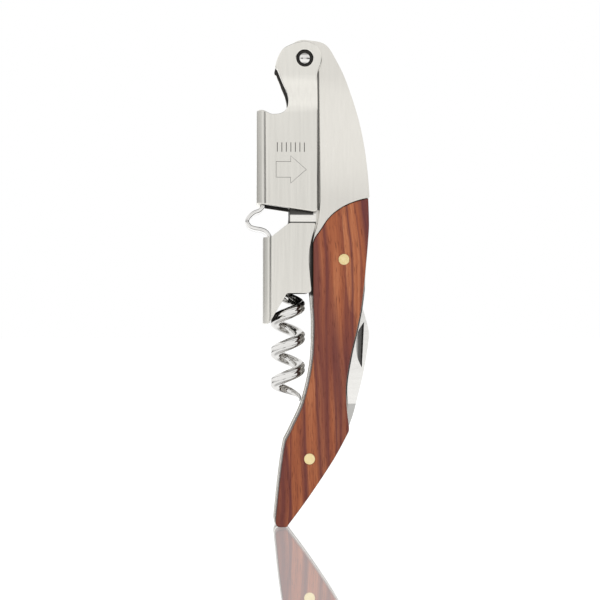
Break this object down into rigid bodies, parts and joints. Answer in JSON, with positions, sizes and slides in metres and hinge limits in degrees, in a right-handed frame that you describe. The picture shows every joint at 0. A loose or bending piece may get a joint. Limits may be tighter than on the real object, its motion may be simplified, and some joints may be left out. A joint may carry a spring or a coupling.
{
  "type": "lever corkscrew",
  "caption": "Waiter's double-lever corkscrew with wooden scales, steel bolsters, sprung folding levers, helical worm and a folding foil knife, shown closed.",
  "frame": {"origin": "centre of the closed tool's footprint, at the height of the tail's tip", "axes": "+Z from the tail's tip up to the head, +X towards the back of the handle where the knife folds in, -Y the front face"},
  "size_m": [0.0321, 0.0126, 0.125],
  "materials": {
    "lever_steel": "satin brushed stainless steel",
    "frame_steel": "satin stainless steel",
    "blade_steel": "ground stainless blade",
    "polished_steel": "polished steel",
    "inner_steel": "plain steel, inside the handle",
    "rosewood": "oiled and polished rosewood",
    "brass": "polished brass"
  },
  "bodies": {
    "handle": {"front_frame": "frame_steel", "rear_frame": "frame_steel", "front_scale": "rosewood", "rear_scale": "rosewood", "head_spacer": "inner_steel", "backspring": "inner_steel", "tip_spacer": "inner_steel", "lever_rivet": "polished_steel", "worm_pin": "inner_steel", "upper_scale_pin": "brass", "knife_pivot_pin": "brass", "front_lever_washer": "brass", "rear_lever_washer": "brass", "front_knife_washer": "brass", "rear_knife_washer": "brass"},
    "worm_arm": {"worm": "polished_steel"},
    "upper_lever_arm": {"upper_lever": "lever_steel", "link_spring": "polished_steel", "upper_link_rivet": "polished_steel"},
    "lower_lever_arm": {"lower_lever": "lever_steel", "lower_link_rivet": "polished_steel"},
    "knife": {"knife_blade": "blade_steel"}
  },
  "joints": [
    {"name": "lever_swing", "type": "hinge", "parent": "handle", "child": "upper_lever_arm", "pos_m": [-0.0008, 0, 0.12], "axis": [0, 1, 0], "range_deg": [0, 135]},
    {"name": "lever_flex", "type": "hinge", "parent": "upper_lever_arm", "child": "lower_lever_arm", "pos_m": [-0.0128, 0, 0.0808], "axis": [0, 1, 0], "range_deg": [0, 30], "stiffness_Nm_per_rad": 0.3, "deforming": ["link_spring"]},
    {"name": "worm_swing", "type": "hinge", "parent": "handle", "child": "worm_arm", "pos_m": [-0.0029, 0, 0.0726], "axis": [0, 1, 0], "range_deg": [0, 90]},
    {"name": "knife_swing", "type": "hinge", "parent": "handle", "child": "knife", "pos_m": [0.0003, 0, 0.0175], "axis": [0, 1, 0], "range_deg": [0, 150]}
  ],
  "couplings": [
    {"joint": "worm_swing", "follows": "lever_swing", "ratio": 0.6666}
  ]
}
